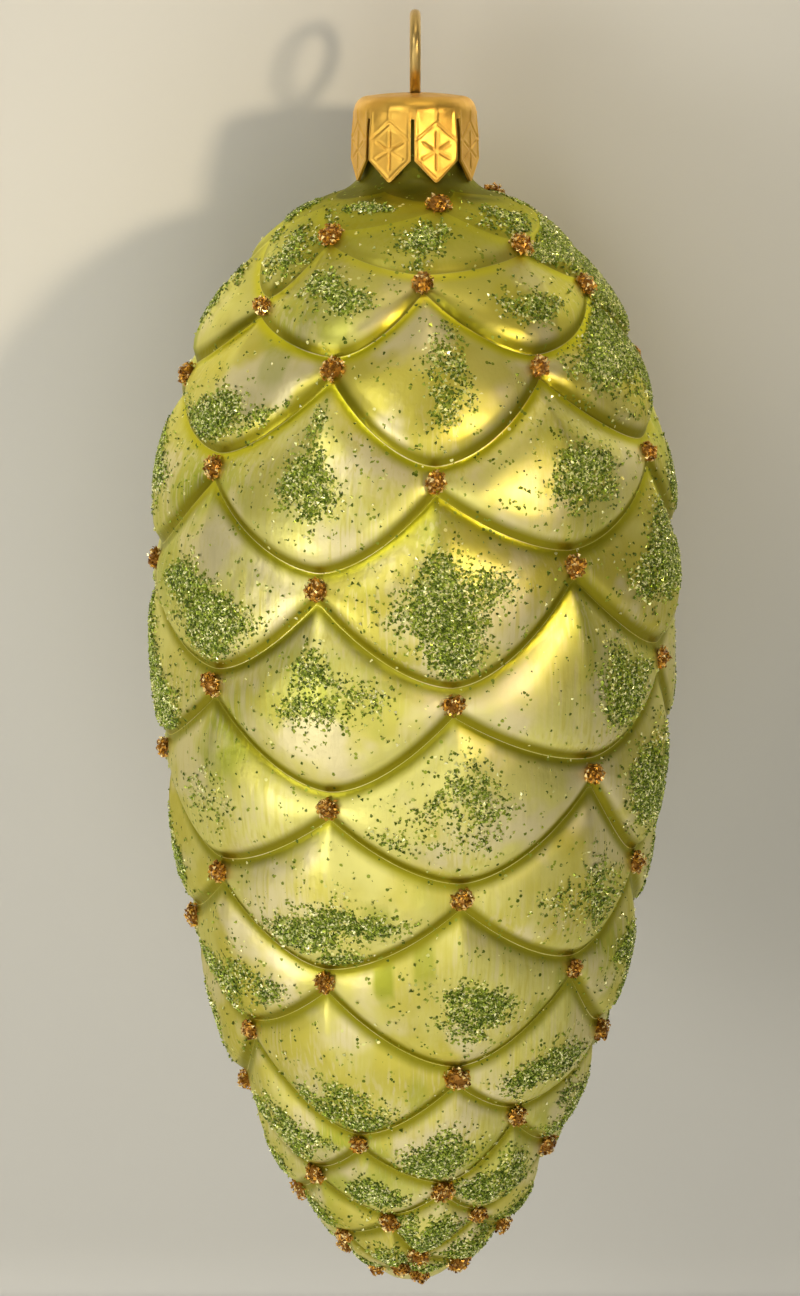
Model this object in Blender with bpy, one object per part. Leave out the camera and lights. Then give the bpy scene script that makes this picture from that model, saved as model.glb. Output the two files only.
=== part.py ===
"""A hanging glass ornament blown in the shape of a cedar cone.

Three pieces: the thin blown glass shell with its fish-scale relief, the stamped crown cap with eight
pointed petals over the glass neck, and the sprung wire hanger whose two legs go through the cap's slot.
Metres, +Z up, the front faces -Y.  The origin is the point under the top of the wire loop where a hook
or a branch carries the ornament.
"""
import math

import bmesh
import bpy
import numpy as np

MM = 0.001

# Wire hanger: an oval loop that stands front to back, and two legs that spring apart in the neck.
WIRE_DIAMETER = 1.15 * MM
LOOP_INNER_WIDTH = 6.1 * MM
LEG_SPACING = 2.1 * MM
LEG_SPREAD = 7.4 * MM
LEG_LENGTH = 13.0 * MM

# Crown cap: thin stamped sheet, with a slot for the legs and a skirt cut into pointed petals.
CAP_TOP_Z = -7.5 * MM
CAP_OUTER_DIAMETER = 13.0 * MM
CAP_SHEET = 0.3 * MM
CAP_EDGE_RADIUS = 1.6 * MM
CAP_CROWN = 0.35 * MM
PETALS = 8
SLIT_WIDTH = 0.36 * MM
SLIT_TOP = 2.3 * MM
PETAL_SHOULDER = 6.6 * MM
PETAL_TIP = 9.0 * MM
PETAL_FLARE = 0.25 * MM
SLOT_LENGTH = 4.0 * MM
SLOT_WIDTH = 1.9 * MM

# Glass: the outline is (height above the tip, radius) over the crests of the scales, in millimetres.
TIP_Z = -143.6 * MM
OUTLINE = (
    (0.0, 0.0), (0.8, 4.4), (3.2, 7.9), (8.0, 11.9), (20.0, 18.4), (36.0, 23.9), (56.0, 27.9),
    (75.0, 29.7), (92.0, 29.2), (104.0, 26.7), (113.0, 23.0), (119.5, 18.2), (123.6, 13.0),
    (125.3, 9.4), (126.1, 7.2), (127.3, 6.0), (129.2, 5.7), (134.6, 5.7),
)
WALL = 0.8 * MM

# Scales: rings of six, each ring turned half a scale from the last, with a slow twist down the cone.
SCALES_AROUND = 6
FIRST_RING = 1
LAST_RING = 15
FIRST_DOT_HEIGHT = 124.8 * MM
PITCH = 11.6 * MM
PITCH_POWER = 0.9
TURN_AT_TOP = math.radians(5.0)
TURN_PER_RING = math.radians(0.45)
RELIEF = 1.5 * MM
EDGE_ABOVE_DOT = 0.19
EDGE_BELOW_DOT = 0.16
EDGE_ROUNDNESS = 1.7
LIP_WIDTH = 1.1 * MM
RISE_WIDTH = 3.4 * MM

# Mesh density of the shell: columns around it, rows down the neck (heights above the tip in
# millimetres), rows in each band of scales outside and inside, and rows from the last band to the tip.
COLUMNS = 36
NECK_ROWS = (134.6, 129.2, 127.6, 126.6)
OUTER_STEPS = (0.0, 0.12, 0.5, 0.88)
INNER_STEPS = (0.0, 0.6)
TIP_STEPS = (0.35, 0.7)
OUTLINE_SAMPLES = 24


def spline(points, samples):
    """Points along a centripetal Catmull-Rom curve through the given ones."""
    knots = np.array(points, dtype=float)
    knots = np.vstack([2 * knots[0] - knots[1], knots, 2 * knots[-1] - knots[-2]])
    curve = []
    for i in range(1, len(knots) - 2):
        p0, p1, p2, p3 = knots[i - 1:i + 3]
        t1 = np.linalg.norm(p1 - p0) ** 0.5
        t2 = t1 + np.linalg.norm(p2 - p1) ** 0.5
        t3 = t2 + np.linalg.norm(p3 - p2) ** 0.5
        for t in np.linspace(t1, t2, samples, endpoint=False):
            a1 = (t1 - t) / t1 * p0 + t / t1 * p1
            a2 = (t2 - t) / (t2 - t1) * p1 + (t - t1) / (t2 - t1) * p2
            a3 = (t3 - t) / (t3 - t2) * p2 + (t - t2) / (t3 - t2) * p3
            b1 = (t2 - t) / t2 * a1 + t / t2 * a2
            b2 = (t3 - t) / (t3 - t1) * a2 + (t - t1) / (t3 - t1) * a3
            curve.append((t2 - t) / (t2 - t1) * b1 + (t - t1) / (t2 - t1) * b2)
    curve.append(knots[-2])
    return np.array(curve)


class Outline:
    """The cone's meridian, measured in rings: ring 0 is the row of dots nearest the cap."""

    def __init__(self):
        curve = spline(OUTLINE, OUTLINE_SAMPLES) * MM
        self.height, self.radius = curve[::-1, 0], np.maximum(curve[::-1, 1], 0.0)
        step = np.hypot(np.diff(self.height), np.diff(self.radius))
        ring = np.concatenate([[0.0], np.cumsum(step / self.pitch(self.radius[1:]))])
        self.ring = ring - np.interp(-FIRST_DOT_HEIGHT, -self.height, ring)
        self.end = self.ring[-1]
        self.mouth = self.ring[0]

    def pitch(self, radius):
        """The distance along the glass from one ring to the next, which grows with the girth."""
        return PITCH * (np.maximum(radius, 6 * MM) / self.radius.max()) ** PITCH_POWER

    def point(self, ring):
        return np.interp(ring, self.ring, self.radius), np.interp(ring, self.ring, self.height)

    def normal(self, ring):
        step = 0.02
        r0, h0 = self.point(np.clip(ring - step, self.mouth, self.end))
        r1, h1 = self.point(np.clip(ring + step, self.mouth, self.end))
        length = np.hypot(r1 - r0, h1 - h0)
        return (h0 - h1) / length, (r1 - r0) / length


def ring_turn(ring):
    return TURN_AT_TOP + TURN_PER_RING * ring


def scallop(ring, column):
    """The ring coordinate of a ring's scalloped lower edge, at a mesh column."""
    per_scale = COLUMNS // SCALES_AROUND
    offset = column - (per_scale // 2 if ring % 2 else 0)
    x = abs(((offset / per_scale + 0.5) % 1.0) - 0.5) * 2
    return ring - EDGE_ABOVE_DOT - (1 - EDGE_ABOVE_DOT - EDGE_BELOW_DOT) * x ** EDGE_ROUNDNESS


def fullness(upper, lower, ring, pitch):
    """How full a scale is, from 0 in the grooves to 1, between its upper and lower scalloped edge."""
    lip = 1 - math.exp(-(lower - ring) * pitch / LIP_WIDTH)
    rise = 1 - math.exp(-(ring - upper) * pitch / RISE_WIDTH)
    return lip * rise


def shell_rows(outline, steps):
    """For each mesh row, from the mouth down: one (ring, fullness) pair for each column."""
    rows = [[(np.interp(-h * MM, -outline.height, outline.ring), 0.0)] * COLUMNS for h in NECK_ROWS]
    edges = [[scallop(k, c) for c in range(COLUMNS)] for k in range(FIRST_RING - 1, LAST_RING + 1)]
    for upper, lower in zip(edges, edges[1:]):
        for t in steps:
            row = []
            for a, b in zip(upper, lower):
                ring = a + (b - a) * t
                row.append((ring, fullness(a, b, ring, outline.pitch(outline.point(ring)[0]))))
            rows.append(row)
    for t in (0.0, *TIP_STEPS):
        rows.append([(ring + (outline.end - ring) * t, 0.0) for ring in edges[-1]])
    return rows


def shell_points(outline, steps, inset):
    """Rows of vertices of one side of the glass, from the mouth to the last row above the tip."""
    points = []
    for row in shell_rows(outline, steps):
        line = []
        for column, (ring, full) in enumerate(row):
            radius, above_tip = outline.point(ring)
            normal_r, normal_h = outline.normal(ring)
            fade_in = min(1.0, max(0.0, (ring + 0.5) / 2.5))
            fade_out = min(1.0, (outline.end - ring) / 2)
            depth = inset + RELIEF * fade_in * fade_out * (1 - full)
            angle = ring_turn(max(ring, 0.0)) + 2 * math.pi * column / COLUMNS
            r = radius - normal_r * depth
            line.append((r * math.sin(angle), -r * math.cos(angle), TIP_Z + above_tip - normal_h * depth))
        points.append(line)
    return points


def skin(bm, points):
    rows = [[bm.verts.new(p) for p in line] for line in points]
    for upper, lower in zip(rows, rows[1:]):
        for i in range(COLUMNS):
            j = (i + 1) % COLUMNS
            bm.faces.new((upper[i], lower[i], lower[j], upper[j]))
    return rows


def close_tip(bm, row, z):
    pole = bm.verts.new((0.0, 0.0, z))
    for i in range(COLUMNS):
        bm.faces.new((row[i], pole, row[(i + 1) % COLUMNS]))


def make_glass_shell():
    """Blown glass: relief outside, the same relief a wall's thickness in, and an open neck."""
    outline = Outline()
    bm = bmesh.new()
    outer = skin(bm, shell_points(outline, OUTER_STEPS, 0.0))
    inner = skin(bm, shell_points(outline, INNER_STEPS, WALL))
    close_tip(bm, outer[-1], TIP_Z)
    close_tip(bm, inner[-1], TIP_Z + WALL)
    for i in range(COLUMNS):
        j = (i + 1) % COLUMNS
        bm.faces.new((outer[0][i], outer[0][j], inner[0][j], inner[0][i]))
    return finish_mesh(bm, "glass_shell", 35)


def cap_section():
    """Rows of the cap's outer skin as (radius, depth below the top), from the slot to the slit's top."""
    outer = CAP_OUTER_DIAMETER / 2
    flat = outer - CAP_EDGE_RADIUS
    rows = [(flat * f, CAP_CROWN * f * f) for f in (0.62, 1.0)]
    for angle in np.radians((30, 60, 90)):
        rows.append((flat + CAP_EDGE_RADIUS * math.sin(angle),
                     CAP_CROWN + CAP_EDGE_RADIUS * (1 - math.cos(angle))))
    rows.append((outer, SLIT_TOP))
    return rows


def slot_point(angle):
    """A point of the slot's rounded outline, in the direction of the angle."""
    half_width, half_length = SLOT_WIDTH / 2, SLOT_LENGTH / 2
    x, y = half_width * math.sin(angle), -half_width * math.cos(angle)
    straight = half_length - half_width
    return x, y + math.copysign(straight, y) if abs(y) > 1e-9 else y


def make_cap():
    """Stamped sheet: a domed top with a slot, and a slit skirt whose petals end in points."""
    per_petal = 6
    columns = PETALS * per_petal
    outer = CAP_OUTER_DIAMETER / 2
    bm = bmesh.new()

    def at(radius, angle, depth):
        return bm.verts.new((radius * math.sin(angle), -radius * math.cos(angle), CAP_TOP_Z - depth))

    angles = [2 * math.pi * i / columns for i in range(columns)]
    rows = [[bm.verts.new((*slot_point(a), CAP_TOP_Z)) for a in angles]]
    rows += [[at(r, a, depth) for a in angles] for r, depth in cap_section()]
    for upper, lower in zip(rows, rows[1:]):
        for i in range(columns):
            j = (i + 1) % columns
            bm.faces.new((upper[i], lower[i], lower[j], upper[j]))

    slit = SLIT_WIDTH / outer / 2
    for petal in range(PETALS):
        start = petal * per_petal
        above = [rows[-1][(start + i) % columns] for i in range(per_petal + 1)]
        for depth in (0.5 * (SLIT_TOP + PETAL_SHOULDER), PETAL_SHOULDER):
            flare = PETAL_FLARE * (depth - SLIT_TOP) / (PETAL_TIP - SLIT_TOP)
            low, high = angles[start] + slit, angles[start] + 2 * math.pi / PETALS - slit
            below = [at(outer + flare, low + (high - low) * i / per_petal, depth)
                     for i in range(per_petal + 1)]
            for i in range(per_petal):
                bm.faces.new((above[i], below[i], below[i + 1], above[i + 1]))
            above = below
        point = [above[0]]
        for i in range(1, per_petal):
            across = 1 - abs(2 * i / per_petal - 1)
            angle = low + (high - low) * i / per_petal
            point.append(at(outer + PETAL_FLARE, angle,
                            PETAL_SHOULDER + (PETAL_TIP - PETAL_SHOULDER) * across))
        point.append(above[-1])
        bm.faces.new((above[0], point[1], above[1]))
        for i in range(1, per_petal - 1):
            bm.faces.new((above[i], point[i], point[i + 1], above[i + 1]))
        bm.faces.new((above[-2], point[-2], above[-1]))

    cap = finish_mesh(bm, "cap", 40)
    solid = cap.modifiers.new("sheet", "SOLIDIFY")
    solid.thickness = CAP_SHEET
    solid.offset = -1.0
    return cap


def hanger_route():
    """The wire's centre line as (y, z): up one leg, round the loop, and down the other leg."""
    half_loop = (LOOP_INNER_WIDTH + WIRE_DIAMETER) / 2
    top = WIRE_DIAMETER / 2
    waist = CAP_TOP_Z + 0.6 * MM
    half_leg, half_spread = LEG_SPACING / 2, LEG_SPREAD / 2
    bottom = CAP_TOP_Z - LEG_LENGTH
    half = [
        (0.0, top),
        (0.55 * half_loop, top - 0.16 * half_loop),
        (0.93 * half_loop, top - 0.62 * half_loop),
        (half_loop, top - 1.05 * half_loop),
        (0.80 * half_loop, top - 1.60 * half_loop),
        (half_leg + 0.45 * MM, waist + 0.6 * MM),
        (half_leg, CAP_TOP_Z - 0.3 * MM),
        (half_leg + 0.5 * MM, CAP_TOP_Z - 2.6 * MM),
        (half_spread - 0.5 * MM, CAP_TOP_Z - 7.5 * MM),
        (half_spread, bottom + 1.5 * MM),
        (half_spread - 0.5 * MM, bottom),
    ]
    return [(-y, z) for y, z in half[:0:-1]] + half


def make_hanger():
    """Round wire, bent in the plane that runs front to back."""
    curve = bpy.data.curves.new("hanger", "CURVE")
    curve.dimensions = "3D"
    curve.bevel_depth = WIRE_DIAMETER / 2
    curve.bevel_resolution = 2
    curve.use_fill_caps = True
    points = spline(hanger_route(), 4)
    line = curve.splines.new("POLY")
    line.points.add(len(points) - 1)
    for target, (y, z) in zip(line.points, points):
        target.co = (0.0, y, z, 1.0)
    wire = bpy.data.objects.new("hanger", curve)
    bpy.context.collection.objects.link(wire)
    return wire


def finish_mesh(bm, name, sharp_degrees):
    bmesh.ops.recalc_face_normals(bm, faces=bm.faces)
    mesh = bpy.data.meshes.new(name)
    bm.to_mesh(mesh)
    bm.free()
    mesh.shade_smooth()
    mesh.set_sharp_from_angle(angle=math.radians(sharp_degrees))
    piece = bpy.data.objects.new(name, mesh)
    bpy.context.collection.objects.link(piece)
    return piece


def finish_material(piece, name, colour, metallic, roughness):
    material = bpy.data.materials.new(name)
    material.use_nodes = True
    shader = material.node_tree.nodes["Principled BSDF"]
    shader.inputs["Base Color"].default_value = (*colour, 1.0)
    shader.inputs["Metallic"].default_value = metallic
    shader.inputs["Roughness"].default_value = roughness
    piece.data.materials.append(material)


def main():
    for thing in list(bpy.data.objects):
        bpy.data.objects.remove(thing)
    finish_material(make_glass_shell(), "lacquered_glass", (0.56, 0.55, 0.16), 0.6, 0.3)
    finish_material(make_cap(), "gold_sheet", (0.86, 0.52, 0.14), 1.0, 0.25)
    finish_material(make_hanger(), "gold_wire", (0.62, 0.46, 0.18), 1.0, 0.3)


main()
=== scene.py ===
import math

import bmesh
import bpy
import numpy as np
from mathutils import Matrix, Vector


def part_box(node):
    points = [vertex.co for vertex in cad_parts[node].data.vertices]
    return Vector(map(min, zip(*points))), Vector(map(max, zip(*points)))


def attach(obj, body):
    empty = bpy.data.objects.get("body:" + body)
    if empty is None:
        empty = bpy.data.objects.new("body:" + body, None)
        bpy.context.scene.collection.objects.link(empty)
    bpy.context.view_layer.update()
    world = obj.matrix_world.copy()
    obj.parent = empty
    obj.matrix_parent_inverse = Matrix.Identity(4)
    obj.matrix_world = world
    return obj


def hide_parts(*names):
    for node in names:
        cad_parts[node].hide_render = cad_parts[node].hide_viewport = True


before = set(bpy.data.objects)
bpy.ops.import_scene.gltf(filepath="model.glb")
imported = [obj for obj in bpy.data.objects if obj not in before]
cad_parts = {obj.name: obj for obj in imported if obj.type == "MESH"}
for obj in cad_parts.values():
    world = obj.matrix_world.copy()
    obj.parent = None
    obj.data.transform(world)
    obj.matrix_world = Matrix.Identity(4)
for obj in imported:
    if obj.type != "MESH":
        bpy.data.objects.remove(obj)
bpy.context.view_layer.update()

mm = 0.001
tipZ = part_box("glass_shell")[0].z
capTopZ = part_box("cap")[1].z
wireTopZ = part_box("hanger")[1].z


def smoothStep(low, high, value):
    t = np.clip((value - low) / (high - low), 0.0, 1.0)
    return t * t * (3 - 2 * t)


studio = {
    "distance": 300 * mm, "elevation": 12.5, "lens": 75.0,
    "aimHeight": 75.6 * mm,   # above the tip of the glass
    "aimAside": -1.6 * mm,
    # the wall leans over the object by this much for each unit of height
    "wallBehind": 38 * mm, "lean": 0.33, "floorBelow": 42 * mm,
    "sweepRadius": 14 * mm, "sweepSteps": 8,
    "reach": 0.9, "wallHeight": 0.5,
    "wallTone": (0.452, 0.443, 0.42),
    "worldTone": (0.78, 0.77, 0.72), "worldStrength": 0.13, "emptyBackground": 0.46,
    # name: (azimuth to the right of the camera, elevation, distance, width, height, watts, colour)
    "lights": {
        "deskLamp": (35, 14, 0.38, 0.034, 0.034, 0.016, (1.0, 0.83, 0.56)),
        "deskGlow": (35, 14, 0.38, 0.034, 0.034, 0.017, (1.0, 0.83, 0.56)),
        "wallWash": (-72, 22, 0.28, 0.14, 0.16, 0.41, (1.0, 0.96, 0.87)),
        "leftCard": (-46, -14, 0.46, 0.17, 0.15, 0.55, (1.0, 0.97, 0.90)),
        "lowCard": (2, -44, 0.34, 0.26, 0.16, 0.72, (1.0, 0.97, 0.86)),
        "upperCard": (-34, 28, 0.75, 0.28, 0.30, 1.05, (1.0, 0.97, 0.86)),
        "frontCard": (4, -8, 0.75, 0.36, 0.38, 0.86, (1.0, 0.96, 0.84)),
        "ceiling": (12, 66, 0.60, 0.34, 0.16, 0.35, (1.0, 0.86, 0.60)),
        "backRight": (140, 25, 0.70, 0.25, 0.35, 1.2, (1.0, 0.97, 0.92)),
        "backLeft": (-150, 20, 0.70, 0.20, 0.35, 0.9, (1.0, 0.97, 0.92)),
        "floorWash": (180, 80, 1.30, 2.60, 1.50, 13.0, (0.97, 0.98, 1.0)),
    },
    "mattOnly": ("wallWash", "deskGlow", "floorWash"),   # not mirrored in the glass
    # these two have a narrow beam, in degrees, aimed past the middle of the object
    "shaded": ("deskLamp", "deskGlow"), "beam": 32.0, "beamAim": (-34 * mm, 18 * mm, 46 * mm),
}


def aroundObject(azimuth, elevation, distance, centre):
    a, e = math.radians(azimuth), math.radians(elevation)
    return centre + distance * Vector((math.sin(a) * math.cos(e), -math.cos(a) * math.cos(e), math.sin(e)))


def faceTowards(thing, target):
    thing.rotation_euler = (target - thing.location).to_track_quat("-Z", "Y").to_euler()


def addCamera():
    target = Vector((studio["aimAside"], 0.0, tipZ + studio["aimHeight"]))
    camera = bpy.data.objects.new("camera", bpy.data.cameras.new("camera"))
    bpy.context.collection.objects.link(camera)
    camera.location = aroundObject(0, studio["elevation"], studio["distance"], target)
    faceTowards(camera, target)
    camera.data.lens = studio["lens"]
    camera.data.clip_start = 0.01
    bpy.context.scene.camera = camera


def addLights():
    centre = Vector((0.0, 0.0, tipZ + studio["aimHeight"]))
    for name, (azimuth, elevation, distance, width, height, watts, tone) in studio["lights"].items():
        lamp = bpy.data.lights.new(name, "AREA")
        lamp.shape = "RECTANGLE"
        lamp.size, lamp.size_y = width, height
        lamp.energy, lamp.color = watts, tone
        light = bpy.data.objects.new(name, lamp)
        bpy.context.collection.objects.link(light)
        light.location = aroundObject(azimuth, elevation, distance, centre)
        faceTowards(light, centre)
        if name in studio["shaded"]:
            faceTowards(light, centre + Vector(studio["beamAim"]))
            lamp.spread = math.radians(studio["beam"])
        light.visible_camera = False
        light.visible_glossy = name not in studio["mattOnly"]


def addBackdrop():
    # a pale sweep: floor, a small curve, and a leaning wall close behind, open to a view from behind
    floorZ, wallY = tipZ - studio["floorBelow"], studio["wallBehind"]
    radius, reach, steps = studio["sweepRadius"], studio["reach"], studio["sweepSteps"]
    section = [(-reach, floorZ)]
    for step in range(steps + 1):
        a = math.radians(90 * step / steps)
        section.append((wallY - radius + radius * math.sin(a), floorZ + radius - radius * math.cos(a)))
    section.append((wallY, floorZ + studio["wallHeight"]))
    middle = tipZ + studio["aimHeight"]
    corners = [(x, y - studio["lean"] * (z - middle), z) for y, z in section for x in (-reach, reach)]
    faces = [(2 * i, 2 * i + 1, 2 * i + 3, 2 * i + 2) for i in range(len(section) - 1)]
    # the floor goes on behind the wall, for the views from there
    first = len(corners)
    corners += [(-reach, 0.0, floorZ - mm), (reach, 0.0, floorZ - mm), (reach, reach, floorZ - mm),
                (-reach, reach, floorZ - mm)]
    faces.append((first, first + 1, first + 2, first + 3))
    mesh = bpy.data.meshes.new("backdrop")
    mesh.from_pydata(corners, [], faces)
    mesh.shade_smooth()
    sweep = bpy.data.objects.new("backdrop", mesh)
    bpy.context.collection.objects.link(sweep)
    sweep.visible_shadow = False
    material = bpy.data.materials.new("paleWall")
    material.use_nodes = True
    nodes, links = material.node_tree.nodes, material.node_tree.links
    shader = nodes["Principled BSDF"]
    shader.inputs["Base Color"].default_value = (*studio["wallTone"], 1.0)
    shader.inputs["Roughness"].default_value = 0.9
    through = nodes.new("ShaderNodeBsdfTransparent")
    side = nodes.new("ShaderNodeNewGeometry")
    mix = nodes.new("ShaderNodeMixShader")
    links.new(side.outputs["Backfacing"], mix.inputs["Fac"])
    links.new(shader.outputs["BSDF"], mix.inputs[1])
    links.new(through.outputs["BSDF"], mix.inputs[2])
    links.new(mix.outputs["Shader"], nodes["Material Output"].inputs["Surface"])
    mesh.materials.append(material)


def setWorld():
    scene = bpy.context.scene
    scene.view_settings.view_transform = "Standard"
    world = bpy.data.worlds.new("studioAir")
    scene.world = world
    world.use_nodes = True
    nodes, links = world.node_tree.nodes, world.node_tree.links
    air = nodes["Background"]
    air.inputs["Color"].default_value = (*studio["worldTone"], 1.0)
    # seen straight on, past the backdrop, the air is paler than the light that it gives
    path, strength = nodes.new("ShaderNodeLightPath"), nodes.new("ShaderNodeMapRange")
    strength.inputs["To Min"].default_value = studio["worldStrength"]
    strength.inputs["To Max"].default_value = studio["emptyBackground"]
    links.new(path.outputs["Is Camera Ray"], strength.inputs["Value"])
    links.new(strength.outputs["Result"], air.inputs["Strength"])


addCamera()
addLights()
addBackdrop()
setWorld()
print("studio ready")


def newGroup(name, inputs, outputs):
    group = bpy.data.node_groups.new(name, "ShaderNodeTree")
    for label, kind, value in inputs:
        socket = group.interface.new_socket(label, in_out="INPUT", socket_type=kind)
        if value is not None:
            socket.default_value = value
    for label, kind in outputs:
        group.interface.new_socket(label, in_out="OUTPUT", socket_type=kind)
    return group, group.nodes.new("NodeGroupInput"), group.nodes.new("NodeGroupOutput")


def joinUp(group, *routes):
    # each route goes from a node's output to another node's input
    for source, output, target, socket in routes:
        group.links.new(source.outputs[output], target.inputs[socket])


def buildMottle():
    # soft cloudy change over a surface
    group, given, result = newGroup(
        "mottle",
        [("Scale", "NodeSocketFloat", 100.0), ("Low", "NodeSocketFloat", 0.3),
         ("High", "NodeSocketFloat", 0.7)],
        [("Value", "NodeSocketFloat")])
    place = group.nodes.new("ShaderNodeTexCoord")
    noise = group.nodes.new("ShaderNodeTexNoise")
    noise.inputs["Detail"].default_value = 3.0
    spread = group.nodes.new("ShaderNodeMapRange")
    spread.interpolation_type = "SMOOTHSTEP"
    joinUp(group, (place, "Object", noise, "Vector"), (given, "Scale", noise, "Scale"),
           (noise, "Fac", spread, "Value"), (given, "Low", spread, "From Min"),
           (given, "High", spread, "From Max"), (spread, "Result", result, "Value"))
    return group


def buildStreaks():
    # fine lines that run along the hanging axis, as a wide brush leaves them
    group, given, result = newGroup(
        "brushStreaks",
        [("Fineness", "NodeSocketFloat", 900.0), ("Length", "NodeSocketFloat", 0.05)],
        [("Value", "NodeSocketFloat")])
    place = group.nodes.new("ShaderNodeTexCoord")
    stretch = group.nodes.new("ShaderNodeVectorMath")
    stretch.operation = "MULTIPLY"
    factors = group.nodes.new("ShaderNodeCombineXYZ")
    factors.inputs["X"].default_value = 1.0
    factors.inputs["Y"].default_value = 1.0
    noise = group.nodes.new("ShaderNodeTexNoise")
    noise.inputs["Detail"].default_value = 2.0
    joinUp(group, (given, "Length", factors, "Z"), (place, "Object", stretch, 0),
           (factors, "Vector", stretch, 1), (stretch, "Vector", noise, "Vector"),
           (given, "Fineness", noise, "Scale"), (noise, "Fac", result, "Value"))
    return group


def buildSpeckle():
    # fine grains: a mask that is 1 on a grain, and a shade of its own for each
    group, given, result = newGroup(
        "speckle",
        [("Scale", "NodeSocketFloat", 3600.0), ("Density", "NodeSocketFloat", 0.5)],
        [("Grain", "NodeSocketFloat"), ("Shade", "NodeSocketFloat")])
    place = group.nodes.new("ShaderNodeTexCoord")
    cells = group.nodes.new("ShaderNodeTexVoronoi")
    parts = group.nodes.new("ShaderNodeSeparateColor")
    chosen = group.nodes.new("ShaderNodeMath")
    chosen.operation = "LESS_THAN"
    shape = group.nodes.new("ShaderNodeMath")
    shape.operation = "LESS_THAN"
    shape.inputs[1].default_value = 0.62
    both = group.nodes.new("ShaderNodeMath")
    both.operation = "MULTIPLY"
    joinUp(group, (place, "Object", cells, "Vector"), (given, "Scale", cells, "Scale"),
           (cells, "Color", parts, "Color"), (parts, "Red", chosen, 0), (given, "Density", chosen, 1),
           (cells, "Distance", shape, 0), (chosen, "Value", both, 0), (shape, "Value", both, 1),
           (both, "Value", result, "Grain"), (parts, "Green", result, "Shade"))
    return group


speckle = buildSpeckle()
mottle = buildMottle()
streaks = buildStreaks()


class Shader:
    # one material's node tree, with short calls for the nodes that repeat
    def __init__(self, name):
        self.material = bpy.data.materials.new(name)
        self.material.use_nodes = True
        self.nodes, self.links = self.material.node_tree.nodes, self.material.node_tree.links
        self.surface = self.nodes["Principled BSDF"]

    def fixed(self, **values):
        for label, value in values.items():
            socket = self.surface.inputs[label.replace("_", " ")]
            socket.default_value = (*value, 1.0) if isinstance(value, tuple) else value

    def feed(self, socket, source):
        if isinstance(source, (int, float)):
            socket.default_value = source
        elif isinstance(source, tuple):
            socket.default_value = (*source, 1.0)
        else:
            self.links.new(source, socket)

    def group(self, tree, **values):
        node = self.nodes.new("ShaderNodeGroup")
        node.node_tree = tree
        for label, value in values.items():
            self.feed(node.inputs[label], value)
        return node.outputs[0] if len(node.outputs) == 1 else tuple(node.outputs)

    def clouds(self, fineness, low, high):
        return self.group(mottle, Scale=fineness, Low=low, High=high)

    def stored(self, name):
        node = self.nodes.new("ShaderNodeAttribute")
        node.attribute_name = name
        return node.outputs["Fac"]

    def between(self, source, low, high, lowValue=0.0, highValue=1.0):
        node = self.nodes.new("ShaderNodeMapRange")
        node.interpolation_type = "SMOOTHSTEP"
        for label, value in (("Value", source), ("From Min", low), ("From Max", high),
                             ("To Min", lowValue), ("To Max", highValue)):
            self.feed(node.inputs[label], value)
        return node.outputs["Result"]

    def maths(self, operation, a, b=0.0, c=0.0):
        node = self.nodes.new("ShaderNodeMath")
        node.operation = operation
        for socket, value in zip(node.inputs, (a, b, c)):
            self.feed(socket, value)
        return node.outputs["Value"]

    def mix(self, factor, a, b):
        node = self.nodes.new("ShaderNodeMix")
        node.data_type = "RGBA"
        self.feed(node.inputs[0], factor)
        self.feed(node.inputs[6], a)
        self.feed(node.inputs[7], b)
        return node.outputs[2]

    def bump(self, height, distance):
        node = self.nodes.new("ShaderNodeBump")
        node.inputs["Strength"].default_value = 1.0
        node.inputs["Distance"].default_value = distance
        self.feed(node.inputs["Height"], height)
        self.links.new(node.outputs["Normal"], self.surface.inputs["Normal"])


def addPiece(name, vertices, faces, material, smooth=True, stored=None):
    mesh = bpy.data.meshes.new(name)
    mesh.from_pydata(vertices, [], faces)
    mesh.update()
    for label, values in (stored or {}).items():
        attribute = mesh.attributes.new(label, "FLOAT", "POINT")
        attribute.data.foreach_set("value", np.asarray(values, np.float32).ravel())
    if smooth:
        mesh.shade_smooth()
    mesh.materials.append(material)
    piece = bpy.data.objects.new(name, mesh)
    bpy.context.collection.objects.link(piece)
    return piece


cone = {
    # height above the tip and radius over the crests of the scales, in millimetres
    "outline": (
        (0.0, 0.0), (0.8, 4.4), (3.2, 7.9), (8.0, 11.9), (20.0, 18.4), (36.0, 23.9), (56.0, 27.9),
        (75.0, 29.7), (92.0, 29.2), (104.0, 26.7), (113.0, 23.0), (119.5, 18.2), (123.6, 13.0),
        (125.3, 9.4), (126.1, 7.2), (127.3, 6.0), (129.2, 5.7), (134.6, 5.7)),
    "wall": 0.8, "relief": 1.6, "keel": 0.34, "waves": 0.16,
    "scalesAround": 6, "lastRing": 16, "firstDot": 124.8, "pitch": 11.6, "pitchPower": 0.9,
    "turn": 5.0, "turnPerRing": 0.45,
    "aboveDot": 0.14, "belowDot": 0.12, "roundness": 1.7,
    # a scale falls steeply to the groove below it over the lip, and rises gently from the one above
    "lipWidth": 0.6, "lipShare": 0.70, "fallWidth": 3.4, "lipRound": 0.8,
    "bankWidth": 1.0, "bankShare": 0.45, "riseWidth": 5.0, "bankRound": 1.5,
    "columns": 292, "bandRows": 18, "leastBandRows": 8, "innerBandRows": 2,
    "neckRows": (134.6, 132.0, 129.6, 128.2, 127.4, 126.8, 126.3, 125.9),
    "tipRows": 12, "seed": 11,
    "farGap": 6.0,   # stands for well away from any groove
    # the relief starts over these rings, and fades over this many before the tip
    "reliefFrom": (0.3, 2.4), "tipFade": 2.5,
}

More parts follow.
